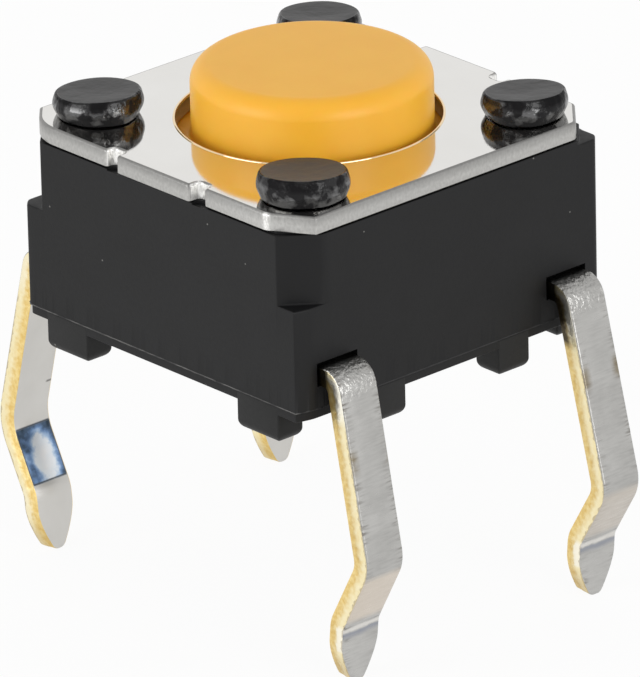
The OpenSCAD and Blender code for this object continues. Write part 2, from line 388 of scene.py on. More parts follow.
orange_acetal = satin_orange_acetal()
print(orange_acetal.name)

# %% [markdown]
# The button itself is turned from one profile: nub, flange, stem and a generously rounded top.
# A lathe is the natural way to make it, so the profile is a list of radii and heights, with its
# corners rounded, that is carried once round the axis. The flange is loose in its bore, and the
# button has settled a few hundredths of a millimetre to one side.

# %% Button
BUTTON_R = 1.775
BUTTON_EDGE = 0.30
FLANGE_R = button_high[0]
FLANGE_T = 0.75
NUB_R = 0.7
BUTTON_PLAY = np.array([0.034, 0.038, 0.0])


def lathe(profile, count=192):
    """Points and faces of a profile (radius, height) turned about Z, closed by one point at each end."""
    a = np.linspace(0, 2 * np.pi, count, endpoint=False)
    r, z = profile[1:-1, 0], profile[1:-1, 1]
    ring = np.stack([r[:, None] * np.cos(a), r[:, None] * np.sin(a), np.repeat(z[:, None], count, 1)], -1)
    points = np.concatenate([ring.reshape(-1, 3), [[0, 0, profile[0, 1]], [0, 0, profile[-1, 1]]]])
    rows = len(r)
    first, last = rows * count, rows * count + 1
    i = np.arange(count)
    j = (i + 1) % count
    low = np.stack([np.full(count, first), j, i], 1)
    high = np.stack([np.full(count, last), (rows - 1) * count + i, (rows - 1) * count + j], 1)
    return points, grid_faces(rows, count).tolist() + low.tolist() + high.tolist()


def rounded_profile(corners, radii, steps=8):
    """Open profile through 2D corners, with the inner ones rounded. The end points stay."""
    c = np.asarray(corners, float)
    padded = np.concatenate([c, [[-5.0, c[-1, 1]], [-5.0, c[0, 1]]]])
    points = rounded_outline(padded, list(radii) + [0.0, 0.0], steps).reshape(len(padded), steps, 2)
    inner = points[1:len(c) - 1].reshape(-1, 2)
    return np.concatenate([c[:1], inner, c[-1:]])


flange_top = BASE_TOP - 0.02
button_profile = rounded_profile(
    [[0, button_low[2]], [NUB_R, button_low[2]], [NUB_R, flange_top - FLANGE_T],
     [FLANGE_R, flange_top - FLANGE_T], [FLANGE_R, flange_top], [BUTTON_R, flange_top],
     [BUTTON_R, button_high[2]], [0, button_high[2]]],
    [0, 0.12, 0.05, 0.06, 0.06, 0.05, BUTTON_EDGE, 0], 14)
points, faces = lathe(button_profile)
button = new_piece("button_moulding", points + BUTTON_PLAY, faces, [orange_acetal])
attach(button, "plunger")
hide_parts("button")
print("button", len(button.data.polygons), "faces")

# %% [markdown]
# The cover is bright rolled stainless sheet. Its faces mirror what stands near, a little blurred
# and drawn out along the rolling direction. Real rolling lines are a few thousandths of a
# millimetre apart, too fine to show, so they are drawn about ten times coarser. The blanked edges
# are matte, because there the metal was first cut and then torn. Where the punch rubbed them they
# are smoother, and a painted near-white glint is laid there; just under the rolled edge they carry
# painted shade. Three materials share one mesh: the faces, the edges, and the rim of the hole,
# whose warm tint is a painted reflection of the button.

# %% Bright rolled steel and sheared steel


def bright_rolled_steel(name, dark, light):
    material, tree, shader, place = start_material(name)
    cloud = add(tree, "TexNoise", {"Vector": place, "Scale": 0.8, "Detail": 4.0})
    stretch = add(tree, "Mapping", {"Vector": place, "Scale": (1.0, 14.0, 1.0)})
    rolled = add(tree, "TexNoise", {"Vector": stretch, "Scale": 6.0, "Detail": 4.0})
    wave = add(tree, "TexNoise", {"Vector": place, "Scale": 0.7, "Detail": 1.0})
    swell = add(tree, "Bump", {"Height": wave, "Strength": 0.25, "Distance": 0.006 * MM})
    lines = add(tree, "Bump", {"Height": rolled, "Normal": swell, "Strength": 0.10, "Distance": 0.002 * MM})
    plug(tree, shader, {"Base Color": mark(tree, dark, light, cloud), "Metallic": 1.0,
                        "Roughness": band(tree, rolled, (0, 1), (0.03, 0.08)), "Normal": lines})
    return material


def sheared_steel():
    """Torn metal, with painted shade just under the rolled edge. A point attribute gives the share of a
    place that the punch rubbed, and a painted near-white glint is laid there.

    Rubbed metal is full of fine scratches that scatter light from all sides, so part of it is
    drawn as a plain pale surface and not as a mirror.
    """
    material, tree, shader, place = start_material("sheared_steel")
    stretch = add(tree, "Mapping", {"Vector": place, "Scale": (1.0, 1.0, 0.7)})
    torn = add(tree, "TexNoise", {"Vector": stretch, "Scale": 24.0, "Detail": 6.0})
    height = add(tree, "SeparateXYZ", {"Vector": place}).outputs["Z"]
    burnish_and_glint = add(tree, "Attribute", attribute_name="burnish_and_glint").outputs["Fac"]
    colour = marked(tree, mark(tree, "#9F9E9B", "#CAC9C6", torn), [
        # painted shade just under the rolled edge, and a painted near-white glint where the punch rubbed
        ("#6E6D6C", band(tree, height, (COVER_TOP - 0.16, COVER_TOP - 0.02), (0.0, 0.55))),
        ("#FBFAF7", burnish_and_glint, band(tree, torn, (0.36, 0.52), (0.5, 1.0)))])
    bump = add(tree, "Bump", {"Height": torn, "Strength": band(tree, burnish_and_glint, (0.0, 0.6), (0.7, 0.12)),
                              "Distance": 0.006 * MM})
    plug(tree, shader, {"Base Color": colour, "Metallic": band(tree, burnish_and_glint, (0, 1), (1.0, 0.45)),
                        "Roughness": band(tree, burnish_and_glint, (0, 1), (0.42, 0.26)), "Normal": bump})
    return material


steel_face = bright_rolled_steel("bright_rolled_steel", "#E0DEDA", "#EAE9E6")
# the rim's warm tint is a painted reflection of the orange button beside it
steel_rim_painted_reflection = bright_rolled_steel("steel_with_painted_button_reflection", "#EFD2A4", "#F5DFBA")
steel_edge = sheared_steel()
print(steel_face.name, steel_rim_painted_reflection.name, steel_edge.name)

# %% Cover
COVER_CUT = 0.49
HOLE_R = 1.955
POST_X, POST_Y = 2.215, 2.17
POST_HOLE_R = 0.49
NOTCH_AT = 0.92
NOTCH_R = 0.13
NOTCH_DEEP = 0.16
TAB_PROUD = cover_high[1] - HALF
COVER_EDGE_R = 0.045
FRONT_CUT, FRONT_CUT_RADII = [(2.37, -HALF), (HALF, -2.60)], [0.30, 0.03]
RIGHT_CUT, RIGHT_CUT_RADII = [(HALF, 2.50), (2.445, HALF)], [0.15, 0.12]
LEFT_CUT, LEFT_CUT_RADII = [(-HALF, -2.58), (-2.54, -HALF)], [0.03, 0.80]
BACK_TAB_R = 0.10
BEAD_R = 0.019


def cover_outline():
    """Half of the outline, from the -Y edge to the +X edge, and the same half turned by 180 degrees."""
    cut, near, far = HALF - COVER_CUT, NOTCH_AT - NOTCH_R, NOTCH_AT + NOTCH_R
    floor_y, tab_y = -HALF + NOTCH_DEEP, -HALF - TAB_PROUD
    corners = np.array([
        [-cut, -HALF], [-far, -HALF], [-far, floor_y], [-near, floor_y], [-near, tab_y], [near, tab_y],
        [near, floor_y], [far, floor_y], [far, -HALF], [cut, -HALF], [HALF, -cut], [HALF, cut]])
    radii = np.array([0.12, 0.055, 0.09, 0.09, 0.055, 0.055, 0.09, 0.09, 0.055, 0.12, 0.12, 0.12])
    corners, radii = np.concatenate([corners, -corners]), np.concatenate([radii, radii])
    corners[9:11], radii[9:11] = FRONT_CUT, FRONT_CUT_RADII
    corners[[11, 12]], radii[[11, 12]] = RIGHT_CUT, RIGHT_CUT_RADII
    corners[[23, 0]], radii[[23, 0]] = LEFT_CUT, LEFT_CUT_RADII
    radii[16] = BACK_TAB_R
    return rounded_outline(corners, radii, 10)


def hole_bead(radius, count=192, steps=12):
    """Points and faces of a thin ring on the cover: a circle of the bead's radius carried round the hole."""
    b = np.linspace(0, 2 * np.pi, steps, endpoint=False)
    a = np.linspace(0, 2 * np.pi, count, endpoint=False)
    r = (radius + BEAD_R * np.cos(b))[:, None]
    z = np.repeat(COVER_TOP - 0.3 * BEAD_R + BEAD_R * np.sin(b)[:, None], count, 1)
    ring = np.stack([r * np.cos(a), r * np.sin(a), z], -1)
    return ring.reshape(-1, 3), grid_faces(steps, count, ring=True)


cover_loops = [cover_outline(), circle_loop(0, 0, HOLE_R, 192)]
cover_loops += [circle_loop(sx * POST_X, sy * POST_Y, POST_HOLE_R, 64) for sx, sy in SIGNS]
points, faces, codes = sheet_part(cover_loops, BASE_TOP, COVER_TOP, COVER_EDGE_R, 0.015)
bead_points, bead_faces = hole_bead(HOLE_R + 0.6 * BEAD_R)
faces += (bead_faces + len(points)).tolist()
points = np.concatenate([points, bead_points])
codes = np.concatenate([codes, np.full(len(bead_faces), 3)])
# the outer edge comes first, with one ring of faces less than its two quarter turns have rows
outer_edge = np.arange(len(codes)) < (2 * EDGE_STEPS - 1) * len(cover_loops[0])
finish = np.where(outer_edge | (codes == 1), 1, 0)
finish[-len(bead_faces):] = 2
cover = new_piece("cover_sheet", points, faces, [steel_face, steel_edge, steel_rim_painted_reflection], finish, codes % 2 == 1)
# the share where the punch rubbed, which also carries a painted near-white glint, fades from 1 at the
# front corner's cut and in the notches over a few hundredths of a millimetre
to_corner = np.linalg.norm(points[:, :2] - FRONT_CUT[0], axis=1)
to_notch = np.maximum(np.abs(np.abs(points[:, 0]) - NOTCH_AT) - NOTCH_R, 0)
in_notch = np.abs(np.abs(points[:, 1]) - HALF + NOTCH_DEEP / 2) < NOTCH_DEEP / 2 + 0.01
burnish_and_glint_share = np.maximum(np.exp(-(to_corner / 0.06) ** 2), np.exp(-(to_notch / 0.02) ** 2) * in_notch)
point_values(cover, "burnish_and_glint", burnish_and_glint_share)
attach(cover, "switch_body")
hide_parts("cover_plate")
print("cover", len(cover.data.polygons), "faces")

# %% [markdown]
# The base is black glass-filled nylon, moulded with a fine matte surface. Black plastic is never
# evenly black: the glass fibres lie just under the skin and lift its tone in soft patches, and
# specks of dust and flash stick to it. So its colour and roughness are mixed from noise at two
# scales, and a few cells of a Voronoi pattern hold a speck. A glass fibre is only 0.01 mm thick, so
# the fibres are drawn coarser, at 14 to the millimetre. Where the two halves of the mould met, a thin
# burr stands out, and a painted highlight along it gets a material of its own.

# %% Black moulded nylon


def black_moulded_nylon(name, dark, light, roughness, dust):
    material, tree, shader, place = start_material(name)
    patch = add(tree, "TexNoise", {"Vector": place, "Scale": 1.3, "Detail": 5.0})
    cells = add(tree, "TexVoronoi", {"Vector": place, "Scale": 2.6}).outputs
    near = add(tree, "Math", {0: cells["Distance"], 1: dust}, operation="LESS_THAN")
    pick = add(tree, "SeparateColor", {"Color": cells["Color"]}).outputs["Red"]
    some = add(tree, "Math", {0: pick, 1: 0.8}, operation="GREATER_THAN")
    fibre = add(tree, "TexNoise", {"Vector": place, "Scale": 14.0, "Detail": 4.0})
    grain = add(tree, "TexNoise", {"Vector": place, "Scale": 30.0, "Detail": 3.0})
    bump = add(tree, "Bump", {"Height": grain, "Strength": 0.35, "Distance": 0.004 * MM})
    plug(tree, shader, {
        "Base Color": mark(tree, mark(tree, dark, light, patch), "#6E6D6B", near, some),
        "Specular IOR Level": 0.23, "Roughness": band(tree, fibre, (0, 1), roughness), "Normal": bump})
    return material


def nylon_with_painted_burr_highlight():
    """Painted highlight along the parting burr, in broken stretches, on the -Y face only."""
    material, tree, shader, place = start_material("nylon_with_painted_burr_highlight")
    y = add(tree, "SeparateXYZ", {"Vector": place}).outputs["Y"]
    broken = add(tree, "TexNoise", {"Vector": place, "Scale": 3.0, "Detail": 4.0})
    colour = mark(tree, "#1A1A1B", "#5C5B59",
                  band(tree, y, (-0.97 * HALF, -0.99 * HALF)), band(tree, broken, (0.36, 0.56)))
    plug(tree, shader, {"Base Color": colour, "Roughness": 0.5})
    return material


base_nylon = black_moulded_nylon("black_moulded_nylon", "#0F0F10", "#171718", (0.40, 0.55), 0.035)
# the feet's lighter black is painted light: the bounce from the floor beside them
foot_nylon_painted_lighter = black_moulded_nylon("scuffed_black_nylon_painted_lighter", "#1A1A1A", "#242424", (0.45, 0.60), 0.045)
burr_highlight_nylon = nylon_with_painted_burr_highlight()
print(base_nylon.name, foot_nylon_painted_lighter.name, burr_highlight_nylon.name)

# %% [markdown]
# The moulding's wall is one grid. Its columns run round the outline and its rows climb from the
# underside to the cover. Only the corners differ with height: they are round below and cut off at
# 45 degrees above, and a ledge joins the two. The ledges of the two -Y corners sit about halfway
# up and those of the +Y corners just under the cover. A column of the grid therefore keeps its
# own ledge height, and on the flat sides, where every height looks the same, it slides from one
# corner's height to the next.

# %% Base wall
UNDER_Z = SEAT_Z + 0.46
CORNER_REACH = 0.5
PLAIN_LOWER_CUT, PLAIN_UPPER_CUT = (0.13, 0.13, 0.02, 0.02), (0.47, 0.47, 0.01, 0.01)
LOWER_CUTS = {(1, -1): (0.08, 0.25, 0.004, 0.03)}
UPPER_CUTS = {(1, -1): (0.425, 0.535, 0.004, 0.03)}
LEDGE_DROP = {-1: 1.10, 1: 0.10}
PARTING_H = 0.15
PARTING_STEP = 0.02
EDGE_R = 0.03
UNDER_EDGE_R = 0.015
GROOVE_H, GROOVE_DEEP = 0.028, 0.06
BURR_ROW = 8


def corner_heights(s, table):
    """How far an outline with a cut-off corner stands out along the corner's diagonal.

    s is the distance from the diagonal. The two flats are h = -|s|. The cut is the straight line from
    the point at a distance a from the sharp corner on one flat to the point at b on the other, and
    the two are joined by the soft minimum (p + q - sqrt((p - q)^2 + k^2)) / 2, with its own softness
    k at each end. Adding k^2 / 4 over the gap between them keeps the far flats where they are.
    """
    a, b, soft_a, soft_b = table
    flats = -np.abs(s)
    cut_line = -(a + (b - a) * (s * np.sqrt(2) + a) / (a + b)) / np.sqrt(2)
    k = np.interp(s, [-0.08, 0.08], [soft_a, soft_b])
    gap = np.sqrt((flats - cut_line) ** 2 + k ** 2)
    fade = np.clip(1 - (np.abs(s) - 0.4) / 0.08, 0, 1)
    return (1 - fade) * flats + fade * (flats + cut_line - gap) / 2


def base_outlines(corner_count=89, side_count=110):
    """Lower and upper outline of the wall, anticlockwise, with each column's ledge height."""
    s = np.linspace(-CORNER_REACH, CORNER_REACH, corner_count)
    lower, upper, ledge = [], [], []
    signs = [(1, -1), (1, 1), (-1, 1), (-1, -1)]
    for k, (sx, sy) in enumerate(signs):
        out = np.array([sx, sy]) / np.sqrt(2)
        tangent = np.array([-out[1], out[0]])
        sharp = np.array([sx, sy]) * HALF
        lower_h = corner_heights(s, LOWER_CUTS.get((sx, sy), PLAIN_LOWER_CUT))
        upper_h = np.minimum(corner_heights(s, UPPER_CUTS.get((sx, sy), PLAIN_UPPER_CUT)), lower_h)
        lower.append(sharp + s[:, None] * tangent + lower_h[:, None] * out)
        upper.append(sharp + s[:, None] * tangent + upper_h[:, None] * out)
        ledge.append(np.full(corner_count, BASE_TOP - LEDGE_DROP[sy]))
        nx, ny = signs[(k + 1) % 4]
        next_out = np.array([nx, ny]) / np.sqrt(2)
        next_tangent = np.array([-next_out[1], next_out[0]])
        end = np.array([nx, ny]) * HALF + s[0] * next_tangent - CORNER_REACH * next_out
        t = np.linspace(0, 1, side_count + 2)[1:-1]
        side = lower[-1][-1] + t[:, None] * (end - lower[-1][-1])
        lower.append(side)
        upper.append(side)
        ledge.append(BASE_TOP - LEDGE_DROP[sy] + t * (LEDGE_DROP[sy] - LEDGE_DROP[ny]))
    return np.concatenate(lower), np.concatenate(upper), np.concatenate(ledge)


def base_wall():
    """Grid of the wall, as points (row, column, 3), from the underside's edge to the top's edge."""
    lower, upper, ledge = base_outlines()
    columns = len(lower)
    gap = np.linalg.norm(lower - upper, axis=1)
    edge = np.minimum(EDGE_R, 0.45 * gap)
    hollow = np.minimum(0.03, 0.45 * gap)
    inward = (upper - lower) / np.maximum(gap, 1e-9)[:, None]
    rise, set_in = quarter(6)
    burr = 0.008 + 0.006 * np.sin(np.arange(columns) * 0.9) * np.sin(np.arange(columns) * 0.37)
    rows = []

    def row(flat, z, inset=0.0):
        # a flat side stands at HALF, so scaling the outline by 1 - inset / HALF sets it in
        flat = flat * (1 - np.broadcast_to(inset, columns)[:, None] / HALF)
        rows.append(np.concatenate([flat, np.broadcast_to(z, columns)[:, None]], 1))

    parting_z = UNDER_Z + PARTING_H
    for a, b in zip(rise, set_in):
        row(lower, UNDER_Z + UNDER_EDGE_R * b, PARTING_STEP + UNDER_EDGE_R * (1 - a))
    row(lower, parting_z - 0.02, PARTING_STEP)
    row(lower, parting_z - 0.008, 0.6 * PARTING_STEP)
    row(lower, parting_z, -burr)
    row(lower, parting_z + 0.012)
    row(lower, parting_z + 0.4)
    row(lower, (parting_z + 0.4 + ledge - edge) / 2)
    for a, b in zip(rise, set_in):
        row(lower + inward * (edge * b)[:, None], ledge - edge + edge * a)
    for a, b in zip(rise, set_in):
        row(upper - inward * (hollow * (1 - a))[:, None], ledge + hollow * b)
    row(upper, (ledge + hollow + BASE_TOP - EDGE_R) / 2)
    row(upper, BASE_TOP - GROOVE_H - 0.006)
    for z, inset in ((-GROOVE_H, 0.006), (-GROOVE_H, GROOVE_DEEP), (0.0, GROOVE_DEEP)):
        row(upper, BASE_TOP + z, inset)
    return np.array(rows)


wall = base_wall()
wall_rows, wall_columns = wall.shape[:2]
wall_points, wall_faces = capped(wall)
beside_burr = np.isin(np.arange(wall_rows - 1), [BURR_ROW - 1, BURR_ROW])
wall_codes = np.append(np.repeat(beside_burr, wall_columns).astype(int), [0, 0])
print("wall", wall_rows, "rows of", wall_columns)

# %% [markdown]
# Eight feet stand on the board and leave room under the base for solder fumes and cleaning. Each
# is a small block whose lower edges are rounded, and its outer face is flush with the wall.

# %% Feet
FOOT_X, FOOT_X_DEEP, FOOT_X_INSET = 0.89, 0.48, 0.48
FOOT_Y, FOOT_Y_DEEP, FOOT_Y_AT = 0.61, 0.50, 1.22
FOOT_R = 0.15


def foot(low, high, sunk=PARTING_H - 0.03):
    """Points and faces of one foot whose lower edges close in by 1 - cos of a quarter turn.

    low and high are its corners in the plan. Each row is a rectangle with small rounded corners,
    and the rows near the board shrink from all four sides.
    """
    rise, set_in = quarter(10)
    inset = np.concatenate([FOOT_R * (1 - rise), [0.0]])
    z = np.concatenate([SEAT_Z + FOOT_R * set_in, [UNDER_Z + sunk]])
    middle, size = (np.array(low) + high) / 2, np.array(high) - low
    signs = np.array([[1, -1], [1, 1], [-1, 1], [-1, -1]])
    unit_outline = rounded_outline(signs * size / 2, [0.03] * 4, 6)
    scale = 1 - 2 * inset[:, None, None] / size
    plan = middle + unit_outline[None] * scale
    return capped(np.concatenate([plan, np.broadcast_to(z[:, None, None], plan.shape[:2] + (1,))], -1))


def all_feet():
    """Corners in the plan of the eight feet: four along the Y faces and four along the X faces."""
    boxes = []
    wall_at = HALF - PARTING_STEP + 0.002
    for sx, sy in SIGNS:
        x = np.sort([sx * (HALF - FOOT_X_INSET), sx * (HALF - FOOT_X_INSET - FOOT_X)])
        y = np.sort([sy * wall_at, sy * (wall_at - FOOT_X_DEEP)])
        boxes.append(([x[0], y[0]], [x[1], y[1]]))
        x = np.sort([sx * wall_at, sx * (wall_at - FOOT_Y_DEEP)])
        y = np.sort([sy * (FOOT_Y_AT - FOOT_Y / 2), sy * (FOOT_Y_AT + FOOT_Y / 2)])
        boxes.append(([x[0], y[0]], [x[1], y[1]]))
    return boxes


feet = new_piece("feet", *gather([foot(low, high) for low, high in all_feet()]), [foot_nylon_painted_lighter])
print("feet", len(feet.data.polygons), "faces")

# %% [markdown]
# What is hollow in the base is cut out of it: the bore for the button's flange, the well of the
# dome, the mouths that the legs come out of, the holes in the underside where the mould held the
# strips, and the hollows under the cover's notches. A boolean is the plain way to take one closed
# shape out of another.

# %% Hollows in the base
FLOOR_Z = UNDER_Z + 0.79
STRIP_Y = 2.25
STRIP_Z = FLOOR_Z - 0.30
BORE_PLAY, BORE_FLOOR = 0.1, FLOOR_Z + 0.55
WELL_R, WELL_TOP = 2.06, FLOOR_Z + 1.0
MOUTH_W, MOUTH_DEEP, MOUTH_OVER = 0.78, 0.12, 0.06
SUPPORT_R = 0.3


def block(low, high):
    """Points and faces of a plain box, used only to cut."""
    low, high = np.array(low, float), np.array(high, float)
    pick = np.array([[i >> 2 & 1, i >> 1 & 1, i & 1] for i in range(8)])
    points = np.where(pick == 1, high, low)
    faces = [[0, 1, 3, 2], [4, 6, 7, 5], [0, 4, 5, 1], [2, 3, 7, 6], [0, 2, 6, 4], [1, 5, 7, 3]]
    return points, faces


def drum(x, y, radius, z_low, z_high, count=96):
    """Points and faces of an upright cylinder, used only to cut."""
    points, faces = lathe(np.array([[0, z_low], [radius, z_low], [radius, z_high], [0, z_high]], float), count)
    return points + [x, y, 0], faces


def cut(piece, shapes):
    """Takes the shapes, each points and faces, out of the piece with one exact boolean."""
    cutter = new_piece("cutter", *gather(shapes), [])
    change = piece.modifiers.new("hollows", "BOOLEAN")
    change.operation = "DIFFERENCE"
    change.solver = "EXACT"
    change.object = cutter
    bpy.context.view_layer.objects.active = piece
    bpy.ops.object.modifier_apply(modifier=change.name)
    bpy.data.objects.remove(cutter)


over = 0.5
hollow_shapes = [drum(0, 0, FLANGE_R + BORE_PLAY, BORE_FLOOR, BASE_TOP + over, 192)]
for sx, sy in SIGNS:
    x = np.sort([sx * (HALF - MOUTH_DEEP), sx * (HALF + over)])
    y = np.sort([sy * (STRIP_Y - MOUTH_W / 2), sy * (STRIP_Y + MOUTH_W / 2)])
    support_x = sx * (HALF - MOUTH_DEEP - 2 * SUPPORT_R)
    hollow_shapes += [
        block([x[0], y[0], STRIP_Z], [x[1], y[1], FLOOR_Z + MOUTH_OVER]),
        drum(sx * NOTCH_AT, sy * HALF, NOTCH_R, BASE_TOP - 0.05, BASE_TOP + over, 48),
        drum(support_x, sy * STRIP_Y, SUPPORT_R, UNDER_Z - over, STRIP_Z + 0.01, 64)]
base = new_piece("base_moulding", wall_points, wall_faces, [base_nylon, burr_highlight_nylon], wall_codes)
cut(base, hollow_shapes)
cut(base, [drum(0, 0, WELL_R, FLOOR_Z, WELL_TOP, 192)])
with bpy.context.temp_override(active_object=base, selected_editable_objects=[base, feet]):
    bpy.ops.object.join()
base.data.polygons.foreach_set("use_smooth", np.ones(len(base.data.polygons), bool))
sharpen(base, 28)
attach(base, "switch_body")
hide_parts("base")
print("base after cutting", len(base.data.polygons), "faces")

# %% [markdown]
# The four heads are the base's own posts. A hot tool pressed each one flat over the cover, so no
# two are quite alike: they differ a little in size and lean. Their tops are dished and dull where
# the tool stood, and their sides are glossy and uneven where the melt pushed out and froze. That
# frozen skin mirrors more than moulded nylon does, in patches, so it is drawn with a higher IOR
# than nylon's 1.53 and a specular level that changes from patch to patch.

# %% Black staked nylon


def black_staked_nylon():
    """Nylon of the heads. "pressed" is 1 on a head's top, where the tool stood, and 0 on its side."""
    material, tree, shader, place = start_material("black_staked_nylon")
    top = add(tree, "Attribute", attribute_name="pressed").outputs["Fac"]
    height = add(tree, "SeparateXYZ", {"Vector": place}).outputs["Z"]
    patch, melt, grain, frozen, wrinkled = (
        add(tree, "TexNoise", {"Vector": place, "Scale": scale, "Detail": detail})
        for scale, detail in ((4.0, 4.0), (3.4, 5.0), (26.0, 3.0), (3.2, 2.0), (8.0, 3.0)))
    colour = mark(tree, mark(tree, "#131314", "#222122", patch), "#2B2A2A", band(tree, top, (0, 1), (0.0, 0.7)))
    patches = overlap(tree, band(tree, melt, (0.48, 0.57), (0.08, 0.85)),
                      band(tree, height, (COVER_TOP + 0.27, COVER_TOP + 0.33), (1.0, 0.2)))
    shine = add(tree, "Math", {0: patches, 1: band(tree, top, (0, 1), (0.0, 0.26))}, operation="MAXIMUM")
    side_only = overlap(tree, wrinkled, band(tree, top, (0.0, 0.5), (1.0, 0.0)))
    bump = add(tree, "Bump", {"Height": overlap(tree, grain, top), "Strength": 0.4, "Distance": 0.005 * MM})
    waves = add(tree, "Bump", {"Height": frozen, "Normal": bump, "Strength": 0.5, "Distance": 0.05 * MM})
    wrinkles = add(tree, "Bump", {"Height": side_only, "Normal": waves, "Strength": 0.7,
                                  "Distance": 0.035 * MM})
    plug(tree, shader, {"Base Color": colour, "IOR": 1.75, "Specular IOR Level": shine,
                        "Roughness": band(tree, top, (0, 1), (0.20, 0.48)), "Normal": wrinkles})
    return material


staked_nylon = black_staked_nylon()
print(staked_nylon.name)

# %% Staked heads
HEAD_H = 0.30
HEAD_LOW_IN = 0.085
HEAD_WIDEST = 0.15
HEAD_TOP_IN = 0.055
DISH_DEEP = 0.02
HEAD_PLAY = np.array([0.023, 0.025, 0.0])
# radius, phase of the waves, height in the middle, lean towards the camera, lean to its right
HEADS = {
    (-1, -1): (0.685, 0.3, 0.366, 0.070, 0.040), (1, -1): (0.698, 1.7, 0.390, 0.110, 0.0),
    (1, 1): (0.653, 2.9, 0.378, 0.100, 0.030), (-1, 1): (0.640, 4.1, 0.368, 0.070, 0.0),
}


def head(radius, phase, height, lean_near, lean_right):
    """Points, faces and the pressed share of one head, turned from a profile and then made uneven.

    The dish falls as (1 - (r / R)^2)^1.5, and the waves round the head are two cosines of the turn.
    Heights over the cover are multiplied by (height + lean . place) / HEAD_H, which tilts the top.
    """
    low, top = radius - HEAD_LOW_IN, radius - HEAD_TOP_IN
    side = rounded_profile(
        [[0, BASE_TOP - 0.2], [0.45, BASE_TOP - 0.2], [0.45, COVER_TOP + 0.012], [low, COVER_TOP + 0.012],
         [radius, COVER_TOP + HEAD_WIDEST], [top, COVER_TOP + HEAD_H], [top - 0.06, COVER_TOP + HEAD_H]],
        [0, 0.01, 0.005, 0.03, 0.12, 0.05, 0], 10)
    r = np.linspace(side[-1, 0], 0, 18)[1:]
    dish = np.stack([r, COVER_TOP + HEAD_H - DISH_DEEP * (1 - (r / side[-1, 0]) ** 2) ** 1.5], 1)
    points, faces = lathe(np.concatenate([side, dish]), 144)
    turn_at, far = np.arctan2(points[:, 1], points[:, 0]), np.linalg.norm(points[:, :2], axis=1)
    pressed = np.clip((top - 0.02 - far) / 0.025, 0, 1) * (points[:, 2] > COVER_TOP + HEAD_H - 0.06)
    wave = 0.010 * np.cos(2 * turn_at + phase) + 0.006 * np.cos(5 * turn_at + 2 * phase)
    skirt = np.clip((COVER_TOP + 0.18 - points[:, 2]) / 0.18, 0, 1) * (far > 0.46)
    sag = 0.022 * np.cos(3 * turn_at + 3 * phase) + 0.012 * np.cos(7 * turn_at + phase)
    points[:, :2] *= (1 + wave + skirt * sag)[:, None]
    lean = lean_near * back[:2] / np.linalg.norm(back[:2]) + lean_right * level[:2]
    share = (height + points[:, :2] @ lean) / HEAD_H
    over = points[:, 2] - COVER_TOP
    points[:, 2] = COVER_TOP + np.where(over > 0.0, over * share, over)
    return points, faces, pressed


four = []
for (sx, sy), values in HEADS.items():
    points, faces, pressed = head(*values)
    four.append((points + [sx * POST_X, sy * POST_Y, 0] + HEAD_PLAY, faces, pressed))
heads = new_piece("staked_heads", *gather(four), [staked_nylon])
point_values(heads, "pressed", np.concatenate([shape[2] for shape in four]))
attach(heads, "switch_body")
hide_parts("base")
print("heads", len(heads.data.polygons), "faces")

# %% [markdown]
# The legs are brass strip that was silver plated before it was stamped. So the wide faces are
# silver, and the bending and feeding tools left short cross scratches, dark ticks along the edges
# and a hammered look over the top bend. The cut edges are bare brass in two bands: a bright one
# that the punch burnished and a yellower one where the metal tore. The real scratches are finer
# than a pixel, and are drawn at 26 to the millimetre. Two attributes tell a material where it is:
# "side" runs from -1 to 1 across the leg's width, and "through" from -1 to 1 through its thickness.

# %% Silver plating


def silver_base(tree, place, dark, light):
    """Cloudy silver colour, its clouds, and cross scratches: a noise drawn out along the strip's width."""
    cloud = add(tree, "TexNoise", {"Vector": place, "Scale": 2.2, "Detail": 6.0})
    across = add(tree, "Mapping", {"Vector": place, "Scale": (1.0, 0.14, 1.0)})
    scratch = add(tree, "TexNoise", {"Vector": across, "Scale": 26.0, "Detail": 6.0})
    return mark(tree, dark, light, cloud), cloud, scratch


